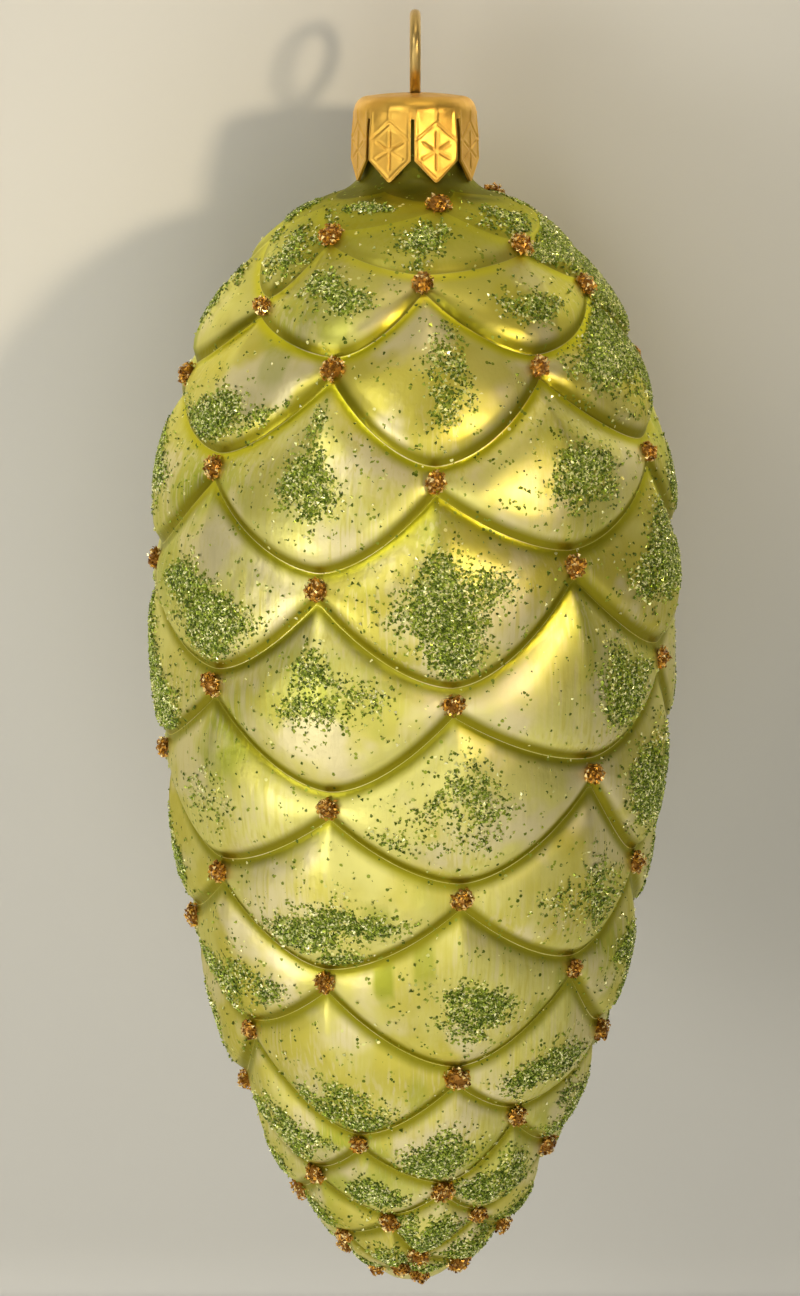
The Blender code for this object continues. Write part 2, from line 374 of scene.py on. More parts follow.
# scales that sit off the even lattice: (ring, place) to (degrees round, rings down)
strays = {
    (0, 0): (7, 0.1), (0, 1): (26, 0.0), (1, 4): (9, 0.0), (1, 5): (-10, 0.0), (1, 0): (7, 0.2),
    (2, 0): (-3.5, -0.23), (2, 5): (3, 0.2), (3, 5): (2.5, -0.1), (3, 0): (-4, -0.1), (3, 4): (0, 0.2),
    (4, 0): (-2.5, 0.0), (4, 5): (2, 0.0), (5, 5): (2, 0.0), (5, 0): (-2, -0.16), (6, 0): (0, 0.0),
    (6, 5): (4, 0.0), (7, 5): (3, 0.0), (7, 0): (4, -0.2), (8, 0): (2, -0.1), (8, 5): (-1, -0.1),
    (9, 5): (-2, -0.1), (9, 0): (5, -0.1), (9, 4): (0, -0.25), (10, 0): (2.5, 0.1), (10, 5): (-2.5, -0.2),
    (11, 5): (1, 0.2), (11, 0): (-4.5, -0.1), (12, 0): (1, 0.15), (12, 5): (6, 0.1), (12, 1): (-8, -0.2),
    (13, 5): (7, 0.0), (13, 0): (-8, 0.0), (14, 0): (-8, 0.3), (15, 5): (6, 0.2), (16, 0): (-5, 0.1),
}


def splineThrough(points, samples):
    # centripetal Catmull-Rom, which does not overshoot between uneven points
    knots = np.array(points, dtype=float)
    knots = np.vstack([2 * knots[0] - knots[1], knots, 2 * knots[-1] - knots[-2]])
    curve = []
    for i in range(1, len(knots) - 2):
        p0, p1, p2, p3 = knots[i - 1:i + 3]
        t1 = np.linalg.norm(p1 - p0) ** 0.5
        t2 = t1 + np.linalg.norm(p2 - p1) ** 0.5
        t3 = t2 + np.linalg.norm(p3 - p2) ** 0.5
        t = np.linspace(t1, t2, samples, endpoint=False)[:, None]
        a1 = (t1 - t) / t1 * p0 + t / t1 * p1
        a2 = (t2 - t) / (t2 - t1) * p1 + (t - t1) / (t2 - t1) * p2
        a3 = (t3 - t) / (t3 - t2) * p2 + (t - t2) / (t3 - t2) * p3
        b1 = (t2 - t) / t2 * a1 + t / t2 * a2
        b2 = (t3 - t) / (t3 - t1) * a2 + (t - t1) / (t3 - t1) * a3
        curve.append((t2 - t) / (t2 - t1) * b1 + (t - t1) / (t2 - t1) * b2)
    return np.vstack(curve + [knots[-2:-1]])


def pitchAt(radius):
    widest = max(r for h, r in cone["outline"])
    return cone["pitch"] * (np.maximum(radius, 6.0) / widest) ** cone["pitchPower"]


def buildMeridian():
    # height, radius and outward direction against the ring number, which is 0 at the first dots
    curve = splineThrough(cone["outline"], 40)[::-1]
    height, radius = curve[:, 0], np.maximum(curve[:, 1], 0.0)
    step = np.hypot(np.diff(height), np.diff(radius))
    ring = np.concatenate([[0.0], np.cumsum(step / pitchAt(radius[1:]))])
    ring -= np.interp(-cone["firstDot"], -height, ring)
    dr, dh = np.gradient(radius, ring), np.gradient(height, ring)
    size = np.hypot(dr, dh)
    return {"ring": ring, "height": height, "radius": radius, "outR": -dh / size, "outH": dr / size}


meridian = buildMeridian()
tipRing = meridian["ring"][-1]


def along(label, ring):
    return np.interp(ring, meridian["ring"], meridian[label])


def buildLattice():
    # where each dot sits, as (degrees round, ring), with the small errors of the mould
    chance = np.random.default_rng(cone["seed"])
    lattice = {}
    for ring in range(-1, cone["lastRing"] + 1):
        for place in range(cone["scalesAround"]):
            aside, down = chance.uniform(-2.5, 2.5), chance.uniform(-0.09, 0.09)
            aside, down = strays.get((ring, place), (aside, down))
            lattice[ring, place] = ((place + 0.5 * (ring % 2)) * 360 / cone["scalesAround"] + aside,
                                    ring + down)
    return lattice


lattice = buildLattice()


def edgeOf(ring, degrees):
    # the scalloped lower edge of a ring of scales: low at its own dots, peaked under the ring above's;
    # gives the edge's level, which scale it is, and how far across that scale from -1 to 1
    around = cone["scalesAround"]
    knots = []
    for place in range(around):
        own = lattice[ring, place]
        knots.append((own[0], own[1] - cone["aboveDot"]))
        after = lattice[ring - 1, (place + ring % 2) % around]
        turn = 360.0 * ((place + ring % 2) // around)
        knots.append((after[0] + turn, after[1] + cone["belowDot"]))
    knots.append((knots[0][0] + 360, knots[0][1]))
    at, level = np.array(knots).T
    wrapped = (degrees - at[0]) % 360 + at[0]
    i = np.clip(np.searchsorted(at, wrapped, side="right") - 1, 0, len(at) - 2)
    t = (wrapped - at[i]) / (at[i + 1] - at[i])
    fromLow = i % 2 == 0
    share = np.where(fromLow, t, 1 - t) ** cone["roundness"]
    low = np.where(fromLow, level[i], level[i + 1])
    peak = np.where(fromLow, level[i + 1], level[i])
    place = np.where(fromLow, i // 2, (i // 2 + 1) % around)
    across = np.where(fromLow, t, t - 1)
    return low + (peak - low) * share, place, across


def edgeSlope(ring, degrees):
    # how steeply an edge runs, in rings for each radian round
    step = 0.6
    here = edgeOf(ring, degrees)[0]
    rise = np.abs(edgeOf(ring, degrees + step)[0] - here)
    fall = np.abs(edgeOf(ring, degrees - step)[0] - here)
    return np.maximum(rise, fall) / math.radians(step)


def scaleTraits():
    # each scale's own small differences
    chance = np.random.default_rng(cone["seed"] + 1)
    return {(ring, place): {"tone": chance.uniform(0, 1), "full": chance.uniform(0.9, 1.1),
                            "lean": chance.uniform(-0.12, 0.12)}
            for ring in range(0, cone["lastRing"] + 2) for place in range(cone["scalesAround"])}


traits = scaleTraits()


def pillow(gap, soft, near, far, nearShare):
    # how full the glass is at a gap from a groove: a soft start, a quick first rise and a slow second one
    gap = np.sqrt(gap * gap + soft * soft) - soft
    return nearShare * (1 - np.exp(-gap / near)) + (1 - nearShare) * (1 - np.exp(-gap / far))


def scaleSurface(ring, degrees, down, inset=0.0):
    # points of the glass on one ring of scales, with what the finish needs to know there
    upper = edgeOf(ring - 1, degrees)[0]
    lower, place, across = edgeOf(ring, degrees)
    level = upper + (lower - upper) * down
    radius = along("radius", level)
    pitch = pitchAt(radius)
    slopeUp = edgeSlope(ring - 1, degrees) * pitch / np.maximum(radius, 1)
    slopeLow = edgeSlope(ring, degrees) * pitch / np.maximum(radius, 1)
    upGap = (level - upper) * pitch / np.hypot(1, slopeUp)
    lowGap = (lower - level) * pitch / np.hypot(1, slopeLow)
    tone, full, lean = (np.array([traits[ring, p][label] for p in range(cone["scalesAround"])])[place]
                        for label in ("tone", "full", "lean"))
    lip = pillow(lowGap, cone["lipRound"], cone["lipWidth"], cone["fallWidth"], cone["lipShare"])
    rise = pillow(upGap, cone["bankRound"], cone["bankWidth"], cone["riseWidth"], cone["bankShare"])
    keel = cone["keel"] * np.exp(-(across / 0.2) ** 2) * np.clip(4 * down, 0, 1)
    keel = keel * np.clip(1 - down, 0, 1) ** 1.3
    fullness = lip * rise * full + (lean * across + keel / cone["relief"]) * lip * rise
    note = {"upGap": upGap, "lowGap": lowGap, "tone": tone, "across": across, "level": level}
    return placeOnGlass(level, degrees, fullness, inset), note


def turned(degrees, level):
    # the angle round the axis, with the slow twist of the rings
    return np.radians(degrees + cone["turn"] + cone["turnPerRing"] * np.maximum(level, 0))


def outward(degrees, level):
    # the way that the smooth outline faces
    angle, outR = turned(degrees, level), along("outR", level)
    return np.stack([outR * np.sin(angle), -outR * np.cos(angle), along("outH", level)], -1)


def placeOnGlass(level, degrees, fullness, inset):
    # a full scale reaches the outline, a groove lies one relief below it, and the blown wall is uneven
    radius, height = along("radius", level), along("height", level)
    outR, outH = along("outR", level), along("outH", level)
    fade = smoothStep(*cone["reliefFrom"], level) * np.clip((tipRing - level) / cone["tipFade"], 0, 1)
    angle = turned(degrees, level)
    ripple = (np.sin(3 * angle + height * 0.21) + np.sin(5 * angle - height * 0.33 + 1.7)
              + np.sin(2 * angle + height * 0.47 + 0.6)) / 3
    depth = inset + fade * (cone["relief"] * (1 - fullness) + cone["waves"] * (1 + ripple))
    r = radius - outR * depth
    return np.stack([r * np.sin(angle), -r * np.cos(angle), tipZ / mm + height - outH * depth], -1) * mm


def glassRows(degrees, bandRows, inset):
    # rows of points from the mouth of the neck to just above the tip, and what is stored on them;
    # the outer skin has fewer rows where the scales are small, and the inner one has few throughout
    rows, notes = [], []

    def plain(level, upGap=cone["farGap"]):
        rows.append(placeOnGlass(level, degrees, np.zeros_like(degrees), inset))
        notes.append({"upGap": upGap + 0 * degrees, "lowGap": cone["farGap"] + 0 * degrees,
                      "tone": 0.5 + 0 * degrees, "glitter": 0 * degrees, "level": level})

    first = edgeOf(0, degrees)[0]
    for height in cone["neckRows"]:
        plain(np.minimum(np.interp(-height, -meridian["height"], meridian["ring"]) + 0 * degrees,
                         first - 0.05))
    for ring in range(1, cone["lastRing"] + 1):
        size = pitchAt(along("radius", ring)) / cone["pitch"]
        count = max(cone["leastBandRows"], round(bandRows * size ** 0.7)) if bandRows > 4 else bandRows
        for step in range(count):
            down = 0.5 - 0.5 * math.cos(math.pi * step / count)
            points, note = scaleSurface(ring, degrees, down, inset)
            note["glitter"] = patchesAt(ring, degrees, note["across"], down)
            rows.append(points)
            notes.append(note)
    last = edgeOf(cone["lastRing"], degrees)[0]
    for step in range(cone["tipRows"]):
        level = last + (tipRing - last) * step / cone["tipRows"]
        plain(level, (level - last) * 4.0)
    return rows, notes


lacquer = {
    "pale": (0.77, 0.725, 0.24), "warm": (0.64, 0.57, 0.10), "fresh": (0.47, 0.50, 0.06),
    # lip and bank: the olive of lacquer pooled in the grooves, darkened as painted shade in the groove
    "silver": (0.80, 0.715, 0.42), "lip": (0.30, 0.265, 0.008), "bank": (0.33, 0.305, 0.012),
    # pooled lacquer with a painted highlight for the upper banks; painted shade over the shoulder; a
    # painted shadow in the neck under the cap
    "pooledWithHighlight": (0.66, 0.61, 0.015), "shoulder": (0.41, 0.39, 0.02), "neck": (0.09, 0.09, 0.008),
    "drip": (0.38, 0.41, 0.03),
    # grain colours, picked by a random shade per grain: dark green as painted shade, near white as painted
    # glints
    "grainLow": (0.09, 0.13, 0.012), "grainMiddle": (0.30, 0.36, 0.04), "grainHigh": (0.95, 0.92, 0.42),
    "satin": 0.43, "gloss": 0.34,
    # clouds over the glass: how fine they are, and the noise where each starts and is full
    "toneClouds": (95.0, 0.38, 0.62), "freshClouds": (70.0, 0.50, 0.72),
    "silverClouds": (120.0, 0.49, 0.66), "brushedClouds": (75.0, 0.40, 0.62),
    "grainClouds": (700.0, 0.3, 0.7), "rippleClouds": (420.0, 0.2, 0.8),
    "streakFineness": 2300.0, "streakLength": 0.035, "grainFineness": 3100.0,
    # millimetres from a groove to where its olive and painted shade start to fade, and to where they end
    "lipReach": (0.6, 1.6), "bankReach": (0.3, 1.5),
}


def lacquerColour(s, level, underLip, overBank, streak):
    # pale and warm scales with clouds of fresh green and silver, brushed; in the grooves pooled olive
    # lacquer with painted shade, a painted highlight on the upper banks, painted shade over the shoulder
    # and a painted shadow under the cap
    cloud = s.maths("MULTIPLY", s.clouds(*lacquer["toneClouds"]), 0.4)
    tone = s.maths("MULTIPLY_ADD", s.stored("tone"), 0.6, cloud)
    colour = s.mix(s.between(tone, 0.25, 0.8), lacquer["pale"], lacquer["warm"])
    colour = s.mix(s.clouds(*lacquer["freshClouds"]), colour, lacquer["fresh"])
    colour = s.mix(s.clouds(*lacquer["silverClouds"]), colour, lacquer["silver"])
    brushed = s.clouds(*lacquer["brushedClouds"])
    dark = s.maths("MULTIPLY", brushed, s.between(streak, 0.50, 0.66, 0.0, 0.6))
    light = s.maths("MULTIPLY", brushed, s.between(streak, 0.49, 0.34, 0.0, 0.5))
    colour = s.mix(light, s.mix(dark, colour, lacquer["warm"]), lacquer["silver"])
    # painted shade: the scales turn darker olive towards the shoulder
    colour = s.mix(s.between(level, 3.0, 0.4, 0.0, 0.95), colour, lacquer["shoulder"])
    # painted shadow: near black in the neck, under the cap's petals
    colour = s.mix(s.between(level, 0.15, -0.35, 0.0, 0.8), colour, lacquer["neck"])
    colour = s.mix(s.stored("drip"), colour, lacquer["drip"])
    # the banks of the upper rings are painted bright yellow, pooled lacquer with a painted highlight;
    # lower down they turn darker olive, painted shade
    bank = s.mix(s.between(level, 3.0, 5.5), lacquer["pooledWithHighlight"], lacquer["bank"])
    # under the lip and over the bank the groove is painted darker: pooled olive lacquer with painted shade
    return s.mix(underLip, s.mix(overBank, colour, bank), lacquer["lip"])


def glassMaterial():
    s = Shader("lacqueredGlass")
    level = s.stored("level")
    # the groove masks carry the painted shade of the grooves and the painted highlight on the upper banks
    drawn = s.between(level, 0.6, 2.4, 0.25, 1.0)   # the grooves are shallow over the shoulder
    lipMask = s.between(s.stored("lowGap"), *lacquer["lipReach"], 1.0, 0.0)
    bankMask = s.between(s.stored("upGap"), *lacquer["bankReach"], 1.0, 0.0)
    underLip, overBank = s.maths("MULTIPLY", lipMask, drawn), s.maths("MULTIPLY", bankMask, drawn)
    channel = s.maths("MAXIMUM", underLip, overBank)
    streak = s.group(streaks, Fineness=lacquer["streakFineness"], Length=lacquer["streakLength"])
    colour = lacquerColour(s, level, underLip, overBank, streak)
    # finer grains of glitter fill the patches between the flakes
    thick = s.maths("MULTIPLY_ADD", s.clouds(*lacquer["grainClouds"]), 0.5,
                    s.maths("SUBTRACT", s.stored("glitter"), 0.25))
    density = s.between(thick, 0.02, 0.75, 0.004, 0.97)
    grain, shade = s.group(speckle, Scale=lacquer["grainFineness"], Density=density)
    # each grain's random shade picks a dark, middle or near-white colour: painted shade and painted glints
    # of single grains
    grainColour = s.mix(s.between(shade, 0.1, 0.55), lacquer["grainLow"], lacquer["grainMiddle"])
    grainColour = s.mix(s.between(shade, 0.84, 0.96), grainColour, lacquer["grainHigh"])
    s.feed(s.surface.inputs["Base Color"], s.mix(grain, colour, grainColour))
    satin = s.maths("MULTIPLY_ADD", streak, 0.10, lacquer["satin"] - 0.05)
    rough = s.maths("MULTIPLY_ADD", channel, lacquer["gloss"] - lacquer["satin"], satin)
    rough = s.maths("ADD", rough, s.between(level, 2.4, 0.8, 0.0, 0.14))
    s.feed(s.surface.inputs["Roughness"], s.maths("MULTIPLY_ADD", grain, 0.12, rough))
    s.fixed(Metallic=0.94, Specular_Tint=(0.80, 0.82, 0.42), Coat_Weight=0.22, Coat_Roughness=0.24,
            Coat_Tint=(0.96, 0.95, 0.66))
    ripple = s.maths("MULTIPLY_ADD", streak, 0.35, s.clouds(*lacquer["rippleClouds"]))
    s.bump(s.maths("MULTIPLY_ADD", s.maths("MULTIPLY", grain, shade), 2.5, ripple), 0.00005)
    return s.material


# a patch of glitter is a few heaps, in shares of the patch's own size, and a thin spread between them
heaps = {"number": 9, "apart": 0.62, "size": 0.30, "full": 0.45, "between": 0.16}


def greenPatch(patch, across, down):
    # how thickly the green glitter lies at a point of a scale
    x, y = (across - patch["across"]) / patch["wide"], (down - patch["down"]) / patch["tall"]
    between = heaps["between"] * np.exp(-0.6 * (x * x + y * y))
    heaped = sum(np.exp(-((x - cx) ** 2 + (y - cy) ** 2) / (2 * heaps["size"] ** 2))
                 for cx, cy in patch["clumps"])
    return patch["full"] * (between + heaps["full"] * heaped)


def patchesAt(ring, degrees, across, down):
    place = edgeOf(ring, degrees)[1]
    thick = np.zeros_like(degrees)
    for p in range(cone["scalesAround"]):
        thick = np.where(place == p, greenPatch(patches[ring, p], across, down), thick)
    return thick


# the front scales' glitter: (ring, place) to (across, down, how much, width, height)
sprinkled = {
    (2, 0): (-0.05, 0.5, 1.0, 0.24, 0.24), (3, 5): (-0.12, 0.5, 1.0, 0.24, 0.18),
    (3, 0): (0.08, 0.6, 0.5, 0.26, 0.18), (3, 1): (-0.2, 0.5, 2.2, 0.6, 0.36),
    (2, 1): (0.0, 0.5, 2.2, 0.5, 0.34),
    (4, 0): (0.10, 0.52, 0.55, 0.20, 0.22), (4, 5): (-0.05, 0.78, 1.1, 0.36, 0.14),
    (4, 1): (0.0, 0.42, 2.0, 0.5, 0.36), (5, 5): (-0.06, 0.5, 1.0, 0.18, 0.22),
    (5, 0): (0.05, 0.5, 0.8, 0.30, 0.20), (5, 4): (0.0, 0.5, 1.0, 0.34, 0.22),
    (6, 0): (0.0, 0.62, 1.35, 0.34, 0.24), (6, 5): (-0.05, 0.72, 1.2, 0.40, 0.18),
    (6, 1): (-0.05, 0.5, 1.1, 0.36, 0.24), (7, 5): (-0.06, 0.5, 0.65, 0.26, 0.18),
    (7, 0): (0.25, 0.55, 0.6, 0.30, 0.26), (7, 4): (0.1, 0.5, 1.1, 0.40, 0.24),
    (8, 0): (-0.04, 0.48, 0.5, 0.32, 0.22), (8, 5): (0.05, 0.55, 0.12, 0.3, 0.2),
    (8, 1): (0.0, 0.55, 1.2, 0.36, 0.24), (9, 5): (0.08, 0.68, 1.4, 0.36, 0.16),
    (9, 0): (0.1, 0.6, 0.4, 0.36, 0.20), (9, 1): (0.0, 0.55, 1.1, 0.4, 0.24),
    (10, 0): (0.06, 0.58, 0.95, 0.26, 0.18), (10, 5): (-0.1, 0.6, 0.8, 0.34, 0.20),
    (10, 1): (0.0, 0.5, 0.8, 0.36, 0.22), (11, 5): (0.0, 0.74, 1.4, 0.34, 0.13),
    (11, 0): (0.15, 0.55, 0.9, 0.34, 0.22), (12, 0): (0.0, 0.62, 1.5, 0.38, 0.22),
    (12, 5): (-0.1, 0.6, 0.9, 0.40, 0.24), (13, 5): (0.0, 0.5, 1.0, 0.40, 0.24),
    (14, 0): (0.0, 0.5, 1.4, 0.5, 0.34),
}


def buildPatches():
    chance = np.random.default_rng(cone["seed"] + 2)
    found = {}
    for ring in range(1, cone["lastRing"] + 1):
        for place in range(cone["scalesAround"]):
            patch = {"across": chance.uniform(-0.14, 0.18), "down": chance.uniform(0.48, 0.72),
                     "wide": chance.uniform(0.22, 0.38), "tall": chance.uniform(0.14, 0.24),
                     "full": chance.uniform(0.45, 1.1),
                     "clumps": chance.normal(0, heaps["apart"], (heaps["number"], 2))}
            # the hand that sprinkled leant to one side, and lingered over the tip
            favoured = max(math.cos(math.radians(lattice[ring, place][0] - 70)), 0)
            nearTip = max(ring - 11, 0) / 4
            patch["full"] *= 1 + 0.45 * favoured + 0.5 * nearTip
            for side in ("wide", "tall"):
                patch[side] *= 1 + 0.25 * favoured + 0.3 * nearTip
            named = ("across", "down", "full", "wide", "tall")
            patch.update(zip(named, sprinkled.get((ring, place), ())))
            found[ring, place] = patch
    return found


patches = buildPatches()


drips = {"number": 26, "width": (1.0, 1.9), "height": (1.3, 2.6), "full": (0.4, 0.9),
         "levels": (1.5, 11.0), "seed": 41}


def dripsAt(degrees, level):
    # small blots of thicker lacquer, each a soft-cornered block
    chance = np.random.default_rng(drips["seed"])
    thick = np.zeros_like(degrees)
    for _ in range(drips["number"]):
        angle, at = chance.uniform(0, 360), chance.uniform(*drips["levels"])
        wide, tall = chance.uniform(*drips["width"]), chance.uniform(*drips["height"])
        full = chance.uniform(*drips["full"])
        aside = ((degrees - angle + 180) % 360 - 180) * math.pi / 180 * along("radius", level)
        below = (level - at) * pitchAt(along("radius", level))
        reach = (np.abs(aside / wide) ** 3 + np.abs(below / tall) ** 3) ** (1 / 3)
        thick = np.maximum(thick, full * smoothStep(1.25, 0.8, reach))
    return thick


def glassFaces(outerCount, allCount, columns):
    # both skins, the rim of the neck, and a fan that closes each skin at the tip
    faces = []
    for r in list(range(outerCount - 1)) + list(range(outerCount, allCount - 1)):
        a = r * columns
        faces += [(a + c, a + columns + c, a + columns + (c + 1) % columns, a + (c + 1) % columns)
                  for c in range(columns)]
    lip, mouth = (allCount - 1) * columns, 0
    faces += [(lip + c, mouth + c, mouth + (c + 1) % columns, lip + (c + 1) % columns)
              for c in range(columns)]
    outerPole, innerPole = allCount * columns, allCount * columns + 1
    outerLast, innerLast = (outerCount - 1) * columns, outerCount * columns
    for c in range(columns):
        d = (c + 1) % columns
        faces.append((outerLast + c, outerPole, outerLast + d))
        faces.append((innerLast + d, innerPole, innerLast + c))
    return faces


def makeGlass():
    columns = cone["columns"]
    degrees = np.arange(columns) * 360.0 / columns
    outerRows, notes = glassRows(degrees, cone["bandRows"], 0.0)
    innerRows, innerNotes = glassRows(degrees, cone["innerBandRows"], cone["wall"])
    rows = outerRows + innerRows[::-1]
    notes = notes + innerNotes[::-1]
    tips = np.array([[0, 0, tipZ], [0, 0, tipZ + cone["wall"] * mm]])
    points = np.vstack(rows + [tips])
    faces = glassFaces(len(outerRows), len(rows), columns)
    stored = {label: np.concatenate([np.concatenate([n[label] for n in notes]), [0.0, 0.0]])
              for label in ("upGap", "lowGap", "tone", "level", "glitter")}
    stored["drip"] = np.concatenate([dripsAt(degrees, n["level"]) for n in notes] + [np.zeros(2)])
    print("glass faces as triangles:", sum(len(f) - 2 for f in faces))
    glass = addPiece("glassBody", points, faces, glassMaterial(), True, stored)
    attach(glass, "root")
    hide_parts("glass_shell")


makeGlass()
print("glass blown")


def flakeMaterial(name, low, middle, high, roughness):
    s = Shader(name)
    shade = s.stored("shade")
    # each crumb's random shade runs from the low colour to a near-white high one: painted shade and
    # painted glints, on top of the light that each tilted crumb catches
    colour = s.mix(s.between(shade, 0.15, 0.55), low, middle)
    colour = s.mix(s.between(shade, 0.64, 0.94), colour, high)
    grime = s.clouds(1400.0, 0.3, 0.7)
    s.feed(s.surface.inputs["Base Color"], s.mix(s.maths("MULTIPLY", grime, 0.25), colour, low))
    s.feed(s.surface.inputs["Roughness"], s.maths("MULTIPLY_ADD", grime, 0.15, roughness))
    s.fixed(Metallic=0.65)
    return s.material


def crumbs(seats, outs, sizes, lift, tumble, chance):
    # four-cornered crumbs on the given seats: their points and faces, and each one's shade at its corners
    number = len(seats)
    corners = np.array([[1, 0, 0], [-0.5, 0.87, 0], [-0.5, -0.87, 0], [0, 0, 0.7]])
    corners = corners[None] * chance.uniform(0.7, 1.2, (number, 4, 3))
    facing = outs + chance.normal(0, tumble, outs.shape)
    facing /= np.linalg.norm(facing, axis=1, keepdims=True)
    side = np.cross(facing, chance.normal(0, 1, outs.shape))
    side /= np.linalg.norm(side, axis=1, keepdims=True)
    basis = np.stack([side, np.cross(facing, side), facing], 1)
    points = np.einsum("nij,njk->nik", corners, basis) * sizes[:, None, None]
    points += (seats + outs * lift)[:, None, :]
    sheet = np.array([[0, 1, 3], [1, 2, 3], [2, 0, 3], [0, 2, 1]])
    faces = (np.arange(number)[:, None, None] * 4 + sheet[None]).reshape(-1, 3)
    return points.reshape(-1, 3), faces, np.repeat(chance.uniform(0, 1, number), 4)


dots = {
    # a lump with crumbs of glitter all over it; sizes in millimetres
    "radius": (1.05, 1.4), "squash": 0.85, "sunk": 0.2, "core": 0.82, "coreUneven": 0.05,
    "coreFineness": 2, "crumbs": 95, "crumbSize": (0.17, 0.36), "crumbReach": (0.72, 1.04), "tumble": 0.8,
    "missing": ((0, 1), (0, 4), (0, 5), (1, 1), (1, 4)),   # worn off, as (ring, place)
    "seed": 21,
    # low is a painted shade and high the near white of a painted glint
    "copper": {"low": (0.22, 0.09, 0.007), "middle": (0.72, 0.36, 0.04), "high": (1.0, 0.80, 0.36),
               "roughness": 0.22},
}


def unitBall(fineness):
    bm = bmesh.new()
    bmesh.ops.create_icosphere(bm, subdivisions=fineness, radius=1.0)
    points = np.array([v.co for v in bm.verts])
    faces = np.array([[v.index for v in f.verts] for f in bm.faces])
    bm.free()
    return points, faces


def makeDots():
    chance = np.random.default_rng(dots["seed"])
    ball, ballFaces = unitBall(dots["coreFineness"])
    points, faces, shades, count = [], [], [], 0
    for (ring, place), (degrees, level) in lattice.items():
        if ring < 0 or (ring, place) in dots["missing"]:
            continue
        seat, normal = dotPlace(ring, degrees, level)
        size = chance.uniform(*dots["radius"])
        turn = Vector((0, 0, 1)).rotation_difference(Vector(normal)).to_matrix()
        spin = Matrix.Rotation(chance.uniform(0, 6.28), 3, "Z")
        frameOf = np.array(turn @ spin).T
        stretch = np.array([1.0, chance.uniform(0.8, 1.15), dots["squash"]]) * size * mm
        centre = seat + normal * size * dots["sunk"] * mm
        core = ball * (dots["core"] + chance.normal(0, dots["coreUneven"], len(ball)))[:, None] * stretch
        points.append(core @ frameOf + centre)
        faces.append(ballFaces + count)
        shades.append(np.full(len(ball), 0.2))
        count += len(ball)
        way = chance.normal(0, 1, (dots["crumbs"], 3))
        way[:, 2] = np.abs(way[:, 2]) - 0.25   # nearly all on the outer side
        way /= np.linalg.norm(way, axis=1, keepdims=True)
        reach = chance.uniform(*dots["crumbReach"], len(way))[:, None]
        seats = (way * reach * stretch) @ frameOf + centre
        sizes = chance.uniform(*dots["crumbSize"], len(way)) * mm
        loose, looseFaces, looseShades = crumbs(seats, way @ frameOf, sizes, 0.0, dots["tumble"], chance)
        points.append(loose)
        faces.append(looseFaces + count)
        shades.append(looseShades)
        count += len(loose)
    copper = flakeMaterial("copperGlitter", **dots["copper"])
    piece = addPiece("copperDots", np.vstack(points), np.vstack(faces).tolist(), copper, False,
                     {"shade": np.concatenate(shades)})
    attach(piece, "root")


def dotPlace(ring, degrees, level):
    # a dot's seat between two neighbouring scales of the next ring, and the way it faces
    at = np.array([degrees])
    if ring < cone["lastRing"]:
        upper, lower = edgeOf(ring, at)[0], edgeOf(ring + 1, at)[0]
        down = np.clip((level - upper) / np.maximum(lower - upper, 0.05), 0.1, 0.9)
        point = scaleSurface(ring + 1, at, down)[0][0]
    else:
        point = placeOnGlass(np.array([level]), at, np.zeros(1), 0.0)[0]
    return point, outward(degrees, level)


makeDots()
print("copper dots set")


sprinkle = {
    "flakes": 104000, "size": (0.13, 0.30), "lift": 0.05, "tumble": 0.75,
    "strayShare": 0.085, "strayReach": 1.6, "seed": 31,
    "lastRings": {"Top": 5, "Middle": 9, "Bottom": 99},   # the last ring of scales of each mesh
    # low is a painted shade and high the near white of a painted glint
    "green": {"low": (0.09, 0.14, 0.012), "middle": (0.37, 0.46, 0.05), "high": (1.0, 0.97, 0.52),
              "roughness": 0.25},
}


def patchArea(ring, patch):
    # how much glitter a patch takes, against the others
    radius = along("radius", ring)
    return patch["full"] * patch["wide"] * patch["tall"] * radius * pitchAt(radius)


def makeGlitter():
    chance = np.random.default_rng(sprinkle["seed"])
    seats, outs, rings = [], [], []
    share = sprinkle["flakes"] / sum(patchArea(ring, patch) for (ring, _), patch in patches.items())
    for (ring, place), patch in patches.items():
        number = int(share * patchArea(ring, patch))
        pick = patch["clumps"][chance.integers(0, len(patch["clumps"]), number)]
        pick = pick + chance.normal(0, heaps["size"], (number, 2))
        far = chance.random(number) < sprinkle["strayShare"]
        pick[far] = chance.normal(0, sprinkle["strayReach"], (int(far.sum()), 2))
        across = patch["across"] + pick[:, 0] * patch["wide"]
        down = patch["down"] + pick[:, 1] * patch["tall"]
        keep = (np.abs(across) < 0.9) & (down > 0.06) & (down < 0.95)
        across, down = across[keep], down[keep]
        degrees = lattice[ring, place][0] + across * 180 / cone["scalesAround"]
        points, note = scaleSurface(ring, degrees, down)
        seats.append(points)
        outs.append(outward(degrees, note["level"]))
        rings.append(np.full(len(points), ring))
    seats, outs, rings = np.vstack(seats), np.vstack(outs), np.concatenate(rings)
    green = flakeMaterial("greenGlitter", **sprinkle["green"])
    above = 0
    for name, lastRing in sprinkle["lastRings"].items():
        chosen = (rings > above) & (rings <= lastRing)
        above = lastRing
        sizes = chance.uniform(*sprinkle["size"], int(chosen.sum())) * mm
        points, faces, shade = crumbs(seats[chosen], outs[chosen], sizes, sprinkle["lift"] * mm,
                                      sprinkle["tumble"], chance)
        piece = addPiece("greenGlitter" + name, points, faces.tolist(), green, False, {"shade": shade})
        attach(piece, "root")
        print(piece.name, "flakes:", len(sizes))


makeGlitter()
print("green glitter sprinkled")


